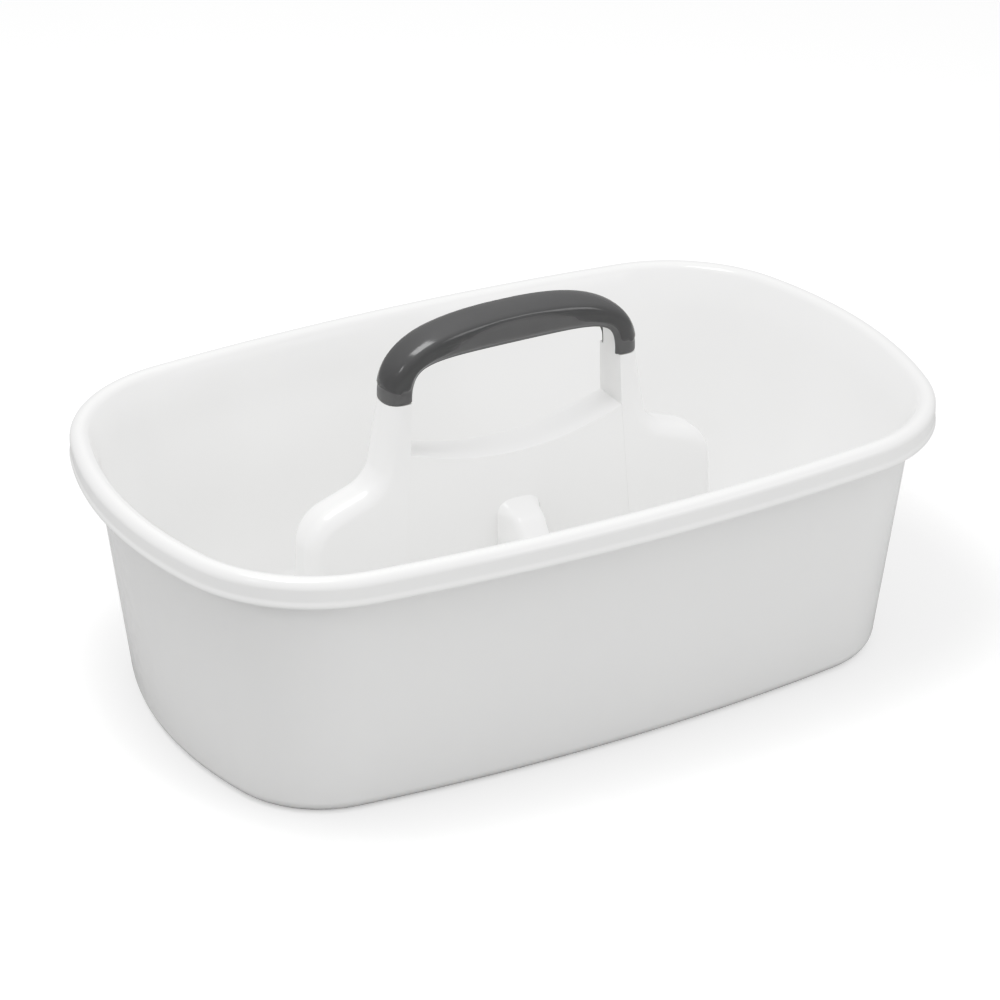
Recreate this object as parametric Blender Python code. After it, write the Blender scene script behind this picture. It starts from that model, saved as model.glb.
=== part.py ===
"""Cleaning caddy: an open tub with a rolled rim, and a fixed carrying handle on a central divider.

The origin is on the supporting surface under the middle of the tub. +X runs along the
length, +Z is up. Run it with: blender --background --python part.py
"""
from math import atan2, cos, pi, radians, sin, sqrt, tan

import bmesh
import bpy
from mathutils import Vector

MM = 0.001

# ---- driving dimensions, in millimetres -------------------------------------------------
RIM_HEIGHT = 129.8              # top of the rim above the supporting surface
RIM_PLAN = (200.0, 125.6, 1090.0, 220.5, 74.3)   # half length, half width, side, end, corner radius
BASE_PLAN = (177.0, 102.9, 1017.0, 197.8, 50.8)  # outside of the wall, carried down to z = 0
SKIRT_HEIGHT = 13.1             # rim from its crest to the lower edge of the skirt
OVERHANG = 10.2                 # skirt face outside the wall
WALL = 2.0                      # moulded wall of the tub
RIM_RADIUS = 4.5                # rounding over the crest of the rim
BEAD = 0.8                      # small lip along the skirt's lower edge
BEAD_HEIGHT = 2.4
BOTTOM_RADIUS = 6.5             # outside rounding between wall and base
FLOOR_RADIUS = 8.0              # inside rounding between wall and floor
FOOT_INSET = 6.5                # foot ring, measured in from the wall
FOOT_WIDTH = 7.0
FOOT_HEIGHT = 2.2               # height of the recess inside the foot ring
FLOOR_TOP = FOOT_HEIGHT + WALL  # inner floor surface

GAP = 0.3                       # clearance between neighbouring pieces
FRAME_FOOT = FLOOR_TOP + GAP    # the handle frame stands here
FRAME_WALL = 2.0
HALF_DEPTH_FOOT = 13.0          # half thickness of the divider at its foot
DEPTH_DRAFT = 0.0252            # half thickness lost per millimetre of height
EDGE_RADIUS = 7.5               # rounding of the outer edges of posts and shoulders
TOWER_FOOT_X = 110.2
TOWER_END_X = 107.1             # end face where the shoulder begins
SHOULDER_Z = 95.2
POST_ROOT = (72.0, 108.0)       # corner between shoulder and post
POST_TOP = (65.6, 146.2)
SHOULDER_RADIUS = 20.0
POST_ROOT_RADIUS = 14.0
HAND_HALF_WIDTH = 55.6
SEAM_TOP_Z = 121.0              # where the panel's joint line meets the hand opening
SEAM_FOOT_X = 65.0
SEAM_LEAN = (SEAM_FOOT_X - HAND_HALF_WIDTH) / (SEAM_TOP_Z - FRAME_FOOT)

ARCH_FOOT_Z = POST_TOP[1] + GAP  # the grip starts here
GRIP_OUTER = (66.1, 35.2, 2.46)  # outer edge of the grip: half width, rise, squareness
GRIP_INNER = (51.6, 17.3, 5.0)   # its edge towards the hand opening
GRIP_DEPTH = (19.4, 21.0)       # depth of the grip at the legs and at mid span
GRIP_SHELL = 2.4                # thickness of the grip shell over the outside of the bar
GRIP_SIDE = 3.4                 # thickness of its lips beside the bar
GRIP_LIP = 3.8                  # depth of the bar behind the lips' crest
POCKET_PITCH = 18.6             # pockets under the bar
POCKET_TOP_Z = 175.0
POCKET_HALF_DEPTH = 4.9

SMILE_Z = 110.2                 # lowest point of the panel's curved top
PANEL_RECESS = 0.7              # panel face behind the post faces
PANEL_WALL = 2.0
RIB_HALF_WIDTH = 8.5            # stub rib in the middle of the panel
RIB_TOP_Z = 88.0
RIB_REACH_TOP = 9.0
RIB_REACH_MIDDLE = 24.0
RIB_MIDDLE_Z = 70.0
RIB_REACH_FOOT = 31.0

FRAME_SCREWS_X = (-98.0, -79.0, 79.0, 98.0)
PANEL_SCREWS_X = (-34.0, 34.0)
BOSS_RADIUS = 4.6
BOSS_HEIGHT = 24.0
SHANK_RADIUS = 1.6
HEAD_RADIUS = 3.7
HEAD_HEIGHT = 1.5
SCREW_REACH = 15.0              # shank above the floor

ARC_STEPS = (4, 7, 5)           # plan steps on end, corner and side arcs, per quarter


# ---- mesh helpers -----------------------------------------------------------------------
def clear_scene():
    for item in list(bpy.data.objects):
        bpy.data.objects.remove(item, do_unlink=True)


def plastic(name, colour, roughness, metallic=0.0):
    material = bpy.data.materials.new(name)
    material.use_nodes = True
    shader = material.node_tree.nodes["Principled BSDF"]
    shader.inputs["Base Color"].default_value = (*colour, 1.0)
    shader.inputs["Roughness"].default_value = roughness
    shader.inputs["Metallic"].default_value = metallic
    return material


def object_from(name, bm, material=None):
    bmesh.ops.recalc_face_normals(bm, faces=bm.faces)
    mesh = bpy.data.meshes.new(name)
    bm.to_mesh(mesh)
    bm.free()
    if material:
        mesh.materials.append(material)
    item = bpy.data.objects.new(name, mesh)
    bpy.context.collection.objects.link(item)
    return item


def finish_shading(item, angle=35.0):
    item.data.shade_smooth()
    item.data.set_sharp_from_angle(angle=radians(angle))


def boolean(target, tool, operation):
    """Apply a Boolean with `tool` to `target`, then drop the tool."""
    step = target.modifiers.new("boolean", "BOOLEAN")
    step.object = tool
    step.operation = operation
    step.solver = "EXACT"
    graph = bpy.context.evaluated_depsgraph_get()
    mesh = bpy.data.meshes.new_from_object(target.evaluated_get(graph))
    target.modifiers.clear()
    target.data = mesh
    bpy.data.objects.remove(tool, do_unlink=True)


def loft(loops, capped=True):
    """Skin a list of equally long closed loops of points (millimetres)."""
    bm = bmesh.new()
    rings = [[bm.verts.new(Vector(point) * MM) for point in loop] for loop in loops]
    count = len(rings[0])
    for low, high in zip(rings, rings[1:]):
        for i in range(count):
            j = (i + 1) % count
            bm.faces.new((low[i], low[j], high[j], high[i]))
    if capped:
        bm.faces.new(list(reversed(rings[0])))
        bm.faces.new(rings[-1])
    return bm


def fillet(points, radii, steps=5):
    """Round the corners of an open or closed polygon of (x, z) points."""
    out = []
    count = len(points)
    for i, radius in enumerate(radii):
        corner = Vector(points[i])
        if radius <= 0.0:
            out.append(corner)
            continue
        before = (Vector(points[i - 1]) - corner).normalized()
        after = (Vector(points[(i + 1) % count]) - corner).normalized()
        half = before.angle(after) / 2.0
        centre = corner + (before + after).normalized() * (radius / sin(half))
        start = corner + before * (radius / tan(half)) - centre
        end = corner + after * (radius / tan(half)) - centre
        turn = start.angle_signed(end)
        for k in range(steps + 1):
            angle = -turn * k / steps
            spun = Vector((start.x * cos(angle) - start.y * sin(angle),
                           start.x * sin(angle) + start.y * cos(angle)))
            out.append(centre + spun)
    return out


def inset(points, distances):
    """Move each edge i -> i + 1 of a counterclockwise polygon inwards by its own distance."""
    count = len(points)
    lines = []
    for i in range(count):
        start = Vector(points[i])
        along = (Vector(points[(i + 1) % count]) - start).normalized()
        lines.append((start + Vector((-along.y, along.x)) * distances[i], along))
    moved = []
    for i in range(count):
        (p, d), (q, e) = lines[i - 1], lines[i]
        t = ((q.x - p.x) * e.y - (q.y - p.y) * e.x) / (d.x * e.y - d.y * e.x)
        moved.append(p + d * t)
    return moved


def half_depth(z):
    """Half thickness of the divider at height z."""
    return HALF_DEPTH_FOOT - DEPTH_DRAFT * (z - FLOOR_TOP)


def slab(outline_at, radius, steps, shrink=0.0):
    """Drafted slab between the divider's front and back planes, with rounded edges.

    `outline_at(d)` is its (x, z) outline with the edges to be rounded moved in by d.
    """
    layers = []
    for k in range(steps + 1):
        angle = pi / 2.0 * k / steps
        layers.append((radius * (1.0 - sin(angle)), radius * (1.0 - cos(angle))))
    loops = []
    for side, order in ((-1.0, layers), (1.0, reversed(layers))):
        for moved_in, below_face in order:
            loops.append([(x, side * (half_depth(z) - shrink - below_face), z)
                          for x, z in outline_at(moved_in)])
    return loft(loops)


def cylinder(radius, low, high, x, y=0.0, sides=16):
    loops = []
    for z in (low, high):
        loops.append([(x + radius * cos(2 * pi * k / sides), y + radius * sin(2 * pi * k / sides), z)
                      for k in range(sides)])
    return loft(loops)


def box(low, high):
    (x0, y0, z0), (x1, y1, z1) = low, high
    return loft([[(x0, y0, z), (x1, y0, z), (x1, y1, z), (x0, y1, z)] for z in (z0, z1)])


def add(target, bm):
    boolean(target, object_from("tool", bm), "UNION")


def cut(target, bm):
    boolean(target, object_from("tool", bm), "DIFFERENCE")


# ---- tub --------------------------------------------------------------------------------
def arc(centre, radius, start, end, steps):
    return [Vector((centre.x + radius * cos(start + (end - start) * k / steps),
                    centre.y + radius * sin(start + (end - start) * k / steps)))
            for k in range(steps + 1)]


def plan(sizes, offset=0.0):
    """Closed plan outline: end, corner and side arcs that meet tangentially, four times."""
    half_length, half_width, side_radius, end_radius, corner_radius = (v + offset for v in sizes)
    side_centre = Vector((0.0, half_width - side_radius))
    end_centre = Vector((half_length - end_radius, 0.0))
    axis = end_centre - side_centre
    reach = axis.length
    to_side = side_radius - corner_radius
    to_end = end_radius - corner_radius
    along = (reach ** 2 + to_side ** 2 - to_end ** 2) / (2.0 * reach)
    across = sqrt(to_side ** 2 - along ** 2)
    axis.normalize()
    corner = side_centre + axis * along + Vector((axis.y, -axis.x)) * across
    low = atan2(corner.y - end_centre.y, corner.x - end_centre.x)
    high = atan2(corner.y - side_centre.y, corner.x - side_centre.x)
    quarter = arc(end_centre, end_radius, 0.0, low, ARC_STEPS[0])
    quarter += arc(corner, corner_radius, low, high, ARC_STEPS[1])[1:]
    quarter += arc(side_centre, side_radius, high, pi / 2.0, ARC_STEPS[2])[1:]
    loop = [(p.x, p.y) for p in quarter]
    loop += [(-p.x, p.y) for p in reversed(quarter[:-1])]
    loop += [(-p.x, -p.y) for p in quarter[1:]]
    loop += [(p.x, -p.y) for p in reversed(quarter[1:-1])]
    return loop


def wall_loop(z, offset=0.0, height=None):
    """Outline of the drafted wall at height z, drawn at `height` if that differs."""
    share = z / (RIM_HEIGHT - SKIRT_HEIGHT)
    top = [size - OVERHANG for size in RIM_PLAN]
    sizes = [low + (high - low) * share for low, high in zip(BASE_PLAN, top)]
    return [(x, y, z if height is None else height) for x, y in plan(sizes, offset)]


def rim_loop(z, offset):
    return [(x, y, z) for x, y in plan(RIM_PLAN, offset)]


def tub_outside():
    """From the recess under the floor, out over the foot ring and up the wall."""
    inner = -(FOOT_INSET + FOOT_WIDTH)
    loops = [wall_loop(0.0, inner - 1.0, FOOT_HEIGHT), wall_loop(0.0, inner), wall_loop(0.0, -FOOT_INSET)]
    for k in range(1, 5):
        angle = pi / 2.0 * k / 4
        z = BOTTOM_RADIUS * (1.0 - cos(angle))
        loops.append(wall_loop(z, -BOTTOM_RADIUS * (1.0 - sin(angle))))
    loops.append(wall_loop(62.0))
    return loops


def tub_rim():
    """From the wall out under the rim, round the skirt and back over the crest."""
    crest = RIM_HEIGHT
    skirt = crest - SKIRT_HEIGHT + 0.2
    under = crest - WALL
    loops = [wall_loop(under - 3.2), rim_loop(under - 0.6, -7.6), rim_loop(under, -5.6)]
    loops += [rim_loop(under - 2.0, -WALL - 0.3), rim_loop(skirt, -WALL + 0.2)]
    loops += [rim_loop(skirt, BEAD - 0.4), rim_loop(skirt + 0.5, BEAD)]
    loops += [rim_loop(skirt + BEAD_HEIGHT, BEAD), rim_loop(skirt + BEAD_HEIGHT + 0.7, 0.0)]
    for k in range(5):
        angle = pi / 2.0 * k / 4
        loops.append(rim_loop(crest - RIM_RADIUS * (1.0 - sin(angle)), -RIM_RADIUS * (1.0 - cos(angle))))
    for degrees in (20.0, 38.0, 55.0):
        angle = radians(degrees)
        loops.append(rim_loop(crest - RIM_RADIUS * (1.0 - cos(angle)), -RIM_RADIUS * (1.0 + sin(angle))))
    return loops


def tub_inside():
    """Down the inner wall and round into the floor."""
    loops = [wall_loop(RIM_HEIGHT - 6.4, -WALL), wall_loop(62.0, -WALL)]
    for k in range(5):
        angle = pi / 2.0 * k / 4
        z = FLOOR_TOP + FLOOR_RADIUS * (1.0 - sin(angle))
        loops.append(wall_loop(z, -WALL - FLOOR_RADIUS * (1.0 - cos(angle))))
    return loops


def make_tub(material):
    tub = object_from("tub", loft(tub_outside() + tub_rim() + tub_inside()), material)
    for x in FRAME_SCREWS_X + PANEL_SCREWS_X:
        cut(tub, cylinder(SHANK_RADIUS + 0.5, 0.0, FLOOR_TOP + 1.0, x))
    finish_shading(tub)
    return tub


# ---- handle frame -----------------------------------------------------------------------
def tower_corners():
    """Right tower, counterclockwise seen with +X right and +Z up, from its outer foot."""
    return [(TOWER_FOOT_X, FRAME_FOOT), (TOWER_END_X, SHOULDER_Z), POST_ROOT, POST_TOP,
            (HAND_HALF_WIDTH, POST_TOP[1]), (HAND_HALF_WIDTH, SEAM_TOP_Z), (SEAM_FOOT_X, FRAME_FOOT)]


def tower_outline(side, walls, moved_in):
    """Outline of a tower with each side moved in by its wall, and its outer sides by more."""
    distances = [walls[0] + moved_in, walls[1] + moved_in, walls[2] + moved_in, *walls[3:]]
    radii = (0.0, SHOULDER_RADIUS - distances[0], POST_ROOT_RADIUS + distances[1], 0.0, 0.0, 0.0, 0.0)
    outline = fillet(inset(tower_corners(), distances), radii)
    if side > 0:
        return [(p.x, p.y) for p in outline]
    return [(-p.x, p.y) for p in reversed(outline)]


def make_tower(side):
    solid = [0.0] * 7
    hollow = [FRAME_WALL, FRAME_WALL, FRAME_WALL, FRAME_WALL + 0.9, FRAME_WALL, FRAME_WALL, -4.0]
    tower = object_from("tower", slab(lambda d: tower_outline(side, solid, d), EDGE_RADIUS, 4))
    cut(tower, slab(lambda d: tower_outline(side, hollow, d), EDGE_RADIUS - FRAME_WALL, 2, FRAME_WALL))
    return tower


def bosses(target, places, reach, depth):
    """Screw bosses on a thin web across a hollow, with their pilot holes."""
    web = 0.9
    add(target, box((reach[0], -web, FRAME_FOOT), (reach[1], web, FRAME_FOOT + BOSS_HEIGHT - 4.0)))
    for x in places:
        add(target, cylinder(BOSS_RADIUS, FRAME_FOOT, FRAME_FOOT + BOSS_HEIGHT, x))
    for x in places:
        cut(target, cylinder(SHANK_RADIUS + 0.3, FRAME_FOOT - 1.0, FRAME_FOOT + depth, x))


def signed_power(value, exponent):
    return abs(value) ** exponent * (1.0 if value > 0.0 else -1.0)


def arch_point(share, half_width, rise, power):
    """Point of a superelliptic arch, from its left foot at share 0 to its right foot at 1."""
    x = -half_width * signed_power(cos(pi * share), 2.0 / power)
    return Vector((x, ARCH_FOOT_Z + rise * abs(sin(pi * share)) ** (2.0 / power)))


def arch_stations(steps):
    """Pairs of points on the grip's inner and outer edges, evenly spread along the arch."""
    fine = 800
    middles = [(arch_point(k / fine, *GRIP_OUTER) + arch_point(k / fine, *GRIP_INNER)) / 2.0
               for k in range(fine + 1)]
    run = [0.0]
    for a, b in zip(middles, middles[1:]):
        run.append(run[-1] + (b - a).length)
    stations = []
    for k in range(steps + 1):
        wanted = run[-1] * k / steps
        share = min(range(fine + 1), key=lambda index: abs(run[index] - wanted)) / fine
        stations.append((arch_point(share, *GRIP_INNER), arch_point(share, *GRIP_OUTER)))
    return stations


def depth_at(outer):
    """Depth of the grip where its outer edge is at `outer`."""
    rise = (outer.y - ARCH_FOOT_Z) / GRIP_OUTER[1]
    return GRIP_DEPTH[0] + (GRIP_DEPTH[1] - GRIP_DEPTH[0]) * rise * rise * (3.0 - 2.0 * rise)


def grip_section(thickness, depth, count=20):
    """(outward, y) points: rounded outside, flatter towards the hand opening."""
    points = []
    for k in range(count):
        angle = 2.0 * pi * k / count
        out_power = 2.0 / (2.2 if cos(angle) > 0.0 else 4.4)
        points.append((thickness / 2.0 * signed_power(cos(angle), out_power),
                       depth / 2.0 * signed_power(sin(angle), 2.0 / 2.2)))
    return points


def bar_section(thickness, depth, clearance=0.0, reach=0.0):
    """(outward, y) points of the bar inside the grip, or of the channel that clears it."""
    inner = -thickness / 2.0 + GRIP_LIP - reach
    outer = thickness / 2.0 - GRIP_SHELL + clearance
    side = depth / 2.0 - GRIP_SIDE + clearance
    radius = 3.6
    corners = [(inner, -side), (outer, -side), (outer, side), (inner, side)]
    return [(p.x, p.y) for p in fillet(corners, (0.0, radius, radius, 0.0), 3)]


def swept(section, steps, drop=0.0):
    """Sweep a section along the arch; `drop` extends both feet downwards."""
    stations = arch_stations(steps)
    if drop:
        foot = Vector((0.0, -drop))
        stations.insert(0, [point + foot for point in stations[0]])
        stations.append([point + foot for point in stations[-1]])
    loops = []
    for inner, outer in stations:
        centre, normal = (inner + outer) / 2.0, (outer - inner).normalized()
        loop = []
        for out, across in section((outer - inner).length, depth_at(outer)):
            spot = centre + normal * out
            loop.append((spot.x, across, spot.y))
        loops.append(loop)
    return loft(loops)


def make_handle_frame(material):
    frame = object_from("handle_frame", swept(bar_section, 26, GAP + 1.6), material)
    for k in range(4):
        x = POCKET_PITCH * (k - 1.5)
        half = POCKET_PITCH / 2.0 - 1.0
        low, high = (x - half, -POCKET_HALF_DEPTH, ARCH_FOOT_Z), (x + half, POCKET_HALF_DEPTH, POCKET_TOP_Z)
        cut(frame, box(low, high))
    for side in (-1, 1):
        tower = make_tower(side)
        places = [x for x in FRAME_SCREWS_X if x * side > 0]
        ends = sorted((side * (SEAM_FOOT_X + 0.2), side * (TOWER_FOOT_X - 1.4)))
        bosses(tower, places, ends, SCREW_REACH + 1.0)
        boolean(frame, tower, "UNION")
    finish_shading(frame)
    return frame


# ---- centre panel -----------------------------------------------------------------------
def panel_outline(wall=0.0, lowered=0.0):
    """The panel between the towers: drafted sides and a top that dips in the middle."""
    foot = FRAME_FOOT if wall == 0.0 else FRAME_FOOT - 4.0
    back = (GAP + wall) * sqrt(1.0 + SEAM_LEAN ** 2)
    top_x = HAND_HALF_WIDTH - GAP - wall
    sag = SEAM_TOP_Z - SMILE_Z
    radius = (HAND_HALF_WIDTH ** 2 + sag ** 2) / (2.0 * sag)
    foot_x = SEAM_FOOT_X + SEAM_LEAN * (FRAME_FOOT - foot) - back
    outline = [(-foot_x, foot), (foot_x, foot)]
    steps = 14
    for k in range(steps + 1):
        x = top_x * (1.0 - 2.0 * k / steps)
        z = SMILE_Z + radius - sqrt(radius ** 2 - x ** 2) - wall - lowered
        outline.append((x, z))
    return outline


def rib_outline(wall=0.0):
    """(reach, z) outline of the stub rib, with its back well inside the panel."""
    foot = FRAME_FOOT if wall == 0.0 else FRAME_FOOT - 4.0
    face = half_depth(RIB_TOP_Z) - PANEL_RECESS
    corners = [(4.0, foot), (face + RIB_REACH_FOOT, FRAME_FOOT), (face + RIB_REACH_MIDDLE, RIB_MIDDLE_Z),
               (face + RIB_REACH_TOP, RIB_TOP_Z), (4.0, RIB_TOP_Z + 1.0)]
    if wall:
        corners = inset(corners, [0.0, wall, wall, wall, 0.0])
        corners[0] = Vector((face - 1.0, foot))
        corners[1] = Vector((corners[1].x, foot))
        corners[4] = Vector((face - 1.0, corners[4].y))
    radii = (0.0, 0.0, 14.0 - wall, 6.0 - wall, 0.0)
    return fillet(corners, radii, 4)


def make_rib(side, wall=0.0):
    """Stub rib on one face of the panel: an outline across the panel, swept over its width."""
    loops = []
    half = RIB_HALF_WIDTH - wall
    blend = 4.0 if wall == 0.0 else 2.4
    outline = rib_outline(wall)
    middle = Vector((half_depth(RIB_TOP_Z), FRAME_FOOT + 20.0))
    for x, share in ((-half, 0.0), (-half + blend * 0.3, 0.7), (-half + blend, 1.0),
                     (half - blend, 1.0), (half - blend * 0.3, 0.7), (half, 0.0)):
        loop = []
        for point in outline:
            pull = blend * (1.0 - share)
            reach = point.x - (pull if point.x > middle.x else 0.0)
            height = point.y - (pull if point.y > middle.y else 0.0)
            loop.append((x, side * reach, height))
        loops.append(loop)
    return loft(loops)


def make_centre_panel(material):
    bm = slab(lambda d: panel_outline(0.0, d), 1.2, 2, PANEL_RECESS)
    panel = object_from("centre_panel", bm, material)
    for side in (-1.0, 1.0):
        add(panel, make_rib(side))
    cut(panel, slab(lambda d: panel_outline(PANEL_WALL, d), 0.4, 1, PANEL_RECESS + PANEL_WALL))
    for side in (-1.0, 1.0):
        cut(panel, make_rib(side, PANEL_WALL))
    end = SEAM_FOOT_X - GAP - PANEL_WALL + 0.2
    bosses(panel, PANEL_SCREWS_X, (-end, end), SCREW_REACH + 1.0)
    finish_shading(panel)
    return panel


# ---- grip and fasteners -----------------------------------------------------------------
def make_grip(material):
    """Shell round the bar, open towards the hand opening."""
    grip = object_from("grip_cover", swept(grip_section, 26), material)

    def channel(thickness, depth):
        return bar_section(thickness, depth, GAP, GRIP_LIP + 2.0)

    cut(grip, swept(channel, 26, 2.0))
    finish_shading(grip)
    return grip


def make_screw(name, x, material):
    """Pan head thread-forming screw, driven up through the floor."""
    top = FOOT_HEIGHT - GAP
    profile = [(HEAD_RADIUS * 0.62, top - HEAD_HEIGHT), (HEAD_RADIUS * 0.9, top - HEAD_HEIGHT * 0.8),
               (HEAD_RADIUS, top - HEAD_HEIGHT * 0.4), (HEAD_RADIUS, top), (SHANK_RADIUS, top),
               (SHANK_RADIUS, FLOOR_TOP + SCREW_REACH - 2.0), (0.5, FLOOR_TOP + SCREW_REACH)]
    sides = 14
    loops = []
    for radius, z in profile:
        loops.append([(x + radius * cos(2 * pi * k / sides), radius * sin(2 * pi * k / sides), z)
                      for k in range(sides)])
    screw = object_from(name, loft(loops), material)
    finish_shading(screw)
    return screw


def main():
    clear_scene()
    white = plastic("white_plastic", (0.86, 0.86, 0.85), 0.22)
    inner_white = plastic("panel_plastic", (0.85, 0.85, 0.84), 0.25)
    frame_white = plastic("frame_plastic", (0.86, 0.86, 0.85), 0.22)
    grey = plastic("grip_plastic", (0.075, 0.075, 0.078), 0.3)
    steel = plastic("screw_steel", (0.62, 0.62, 0.6), 0.35, 1.0)
    make_tub(white)
    make_handle_frame(frame_white)
    make_centre_panel(inner_white)
    make_grip(grey)
    for number, x in enumerate(FRAME_SCREWS_X, 1):
        make_screw(f"frame_screw_{number}", x, steel)
    for number, x in enumerate(PANEL_SCREWS_X, 1):
        make_screw(f"panel_screw_{number}", x, steel)


main()
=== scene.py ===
from math import asin, atan2, cos, exp, pi, radians, sin, sqrt, tan

import bmesh
import bpy
from mathutils import Matrix, Vector


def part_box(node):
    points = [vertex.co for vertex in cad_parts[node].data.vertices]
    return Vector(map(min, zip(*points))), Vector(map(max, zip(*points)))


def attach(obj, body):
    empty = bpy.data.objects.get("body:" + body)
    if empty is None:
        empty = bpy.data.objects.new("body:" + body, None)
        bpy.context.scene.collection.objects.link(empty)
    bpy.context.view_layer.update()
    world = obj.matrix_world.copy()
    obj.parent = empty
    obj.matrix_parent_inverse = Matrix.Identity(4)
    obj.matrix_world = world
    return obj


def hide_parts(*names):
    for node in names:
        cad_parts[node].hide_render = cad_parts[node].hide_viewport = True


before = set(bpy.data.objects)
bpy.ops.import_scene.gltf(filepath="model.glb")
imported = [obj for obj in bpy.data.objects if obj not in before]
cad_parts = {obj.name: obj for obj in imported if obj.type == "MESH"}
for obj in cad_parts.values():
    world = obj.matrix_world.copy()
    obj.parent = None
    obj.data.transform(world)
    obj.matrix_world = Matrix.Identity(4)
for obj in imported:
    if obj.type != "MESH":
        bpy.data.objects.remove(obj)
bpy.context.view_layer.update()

MM = 0.001


def box_mm(node):
    """Lowest and highest corner of a CAD node, in millimetres."""
    return [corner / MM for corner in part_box(node)]


# ---- sizes in millimetres: overall ones come from the frame, the rest repeat the CAD's ----
GAP = 0.3

# tub
WALL = 2.0
WALL_DRAFT = 6.2                 # degrees off upright
WALL_LEVELS = (22.0, 44.0, 66.0, 88.0, 104.0)
BOTTOM_RADIUS = 6.5
FLOOR_RADIUS = 8.0
ROUNDING_STEPS = 10
FOOT_INSET = 6.5
FOOT_WIDTH = 7.0
FOOT_HEIGHT = 2.2
FOOT_EDGE = ((-1.4, FOOT_HEIGHT), (-0.6, FOOT_HEIGHT - 0.25), (0.0, 0.5), (0.35, 0.0))    # (out, height)
FLOOR_TOP = FOOT_HEIGHT + WALL
OVERHANG = 10.2                  # of the rim beyond the wall
SKIRT_HEIGHT = 13.1
SKIRT_LIFT = 0.2                 # the skirt's fine edge stays this much above the CAD's
SKIRT_INNER_EDGE = ((0.0, 0.45), (0.25, 0.1), (0.7, 0.0))      # (out from its inner face, up from its edge)
SKIRT_OUTER_EDGE = ((-0.6, 0.0), (-0.2, 0.15), (0.0, 0.6))     # (out from the bead's face, up from its edge)
BEAD = 0.8
BEAD_FACE = 0.45                 # softened face of the bead
BEAD_FADE = ((0.97, 1.4), (0.75, 2.0), (0.3, 2.7), (0.06, 3.3), (0.0, 4.0))    # (share of face, height)
RIM_RADIUS = 4.5
CREST_TURN = 70.0                # slope at which the crest's rounding opens out
CREST_RUNOUT = 76.5              # extra radius from there down to the inner wall
CREST_STEPS = (19, 12)
UNDER_RIM = 9.0                  # depth below the crest to which the rim's underside follows it
UNDER_SKIRT = 0.8                # the outer wall's last outline lies this far below the skirt's edge
RIM_TOP = box_mm("tub")[1]
RIM_HEIGHT = RIM_TOP.z
# plans: half length, half width, then the radii of the side, end and corner arcs
RIM_PLAN = (RIM_TOP.x - BEAD, RIM_TOP.y - BEAD, 1090.0, 220.5, 74.3)
BASE_PLAN = (177.0, 102.9, 1017.0, 197.8, 50.8)
PLAN_STEPS = (12, 24, 20)        # along each end, corner and side arc
BOSS_ROOT = 0.6                  # how far a boss on the underside reaches into the floor
SCREW_PAD = (4.6, 6.4, 0.8)      # inner and outer radius and height of the rings round the screws
SCREW_PAD_EDGE = 0.3
GATE_MARK = ((3.0, BOSS_ROOT), (3.0, -0.3), (2.4, -0.5), (0.9, -0.5), (0.5, -1.1))    # (radius, height)

# handle frame
FRAME_FOOT = box_mm("handle_frame")[0].z
TOWER_FOOT_X = box_mm("handle_frame")[1].x
HALF_DEPTH_FOOT = box_mm("handle_frame")[1].y
DEPTH_DRAFT = 0.0252
EDGE_RADIUS = 7.5
EDGE_STEPS = 12
TOWER_END_X = TOWER_FOOT_X - 3.1    # at the shoulder
SHOULDER_Z = 95.2
SHOULDER_RADIUS = 20.0
POST_ROOT = (72.0, 108.0)        # (x, z) of the outer corner between shoulder and post
POST_ROOT_RADIUS = 14.0
POST_TOP = (65.6, 146.2)
TOWER_CORNER_STEPS = 16
HAND_HALF_WIDTH = 55.6
HAND_TOP_HALF_WIDTH = 54.4       # the posts lean in a little up to the grip
BAR_ROOT = 1.6                   # how far the bar runs down into the posts
BAR_RADII = (0.5, 3.6, 3.6, 0.5)    # its inner, two outer and other inner edge
BAR_STEPS = 90
POCKET_COUNT = 4
POCKET_PITCH = 18.6
POCKET_WEB = 2.0
POCKET_TOP_Z = 175.0
POCKET_HALF_DEPTH = 4.9

# centre panel
SEAM_TOP_Z = box_mm("centre_panel")[1].z + 0.1    # just above the CAD's panel
SEAM_FOOT_X = box_mm("centre_panel")[1].x + GAP
SEAM_LEAN = (SEAM_FOOT_X - HAND_HALF_WIDTH) / (SEAM_TOP_Z - FRAME_FOOT)
SEAM = 0.03                      # closed joint line beside the panel
SMILE_Z = 110.2                  # lowest point of the panel's dipped top edge
PANEL_RECESS = 0.05
PANEL_EDGE = 0.06
PANEL_EDGE_STEPS = 4
PANEL_TOP_STEPS = 40
RIB_HALF_WIDTH = 8.5
RIB_REACH = (9.8, 24.3, 31.2)    # in front of the panel at RIB_START_Z, at RIB_KNEE_Z and at its foot
RIB_START_Z = 88.0
RIB_KNEE_Z = 70.0
RIB_BEND = 0.0195                # hollow of its nose between the two
RIB_CROWN_Z = 77.0               # where the rib starts to round over towards its top
RIB_CROWN = 6.3
RIB_SQUARENESS = 3.8
RIB_FLARE = 3.2                  # rounding between the rib and the panel
RIB_ROOT = 3.0                   # how far the rib reaches into the panel
RIB_SINK = 0.05                  # keeps the flare's thin edge just inside the panel's face
RIB_STEPS = (24, 26, 24)         # up its nose, over its crown and across each half

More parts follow.
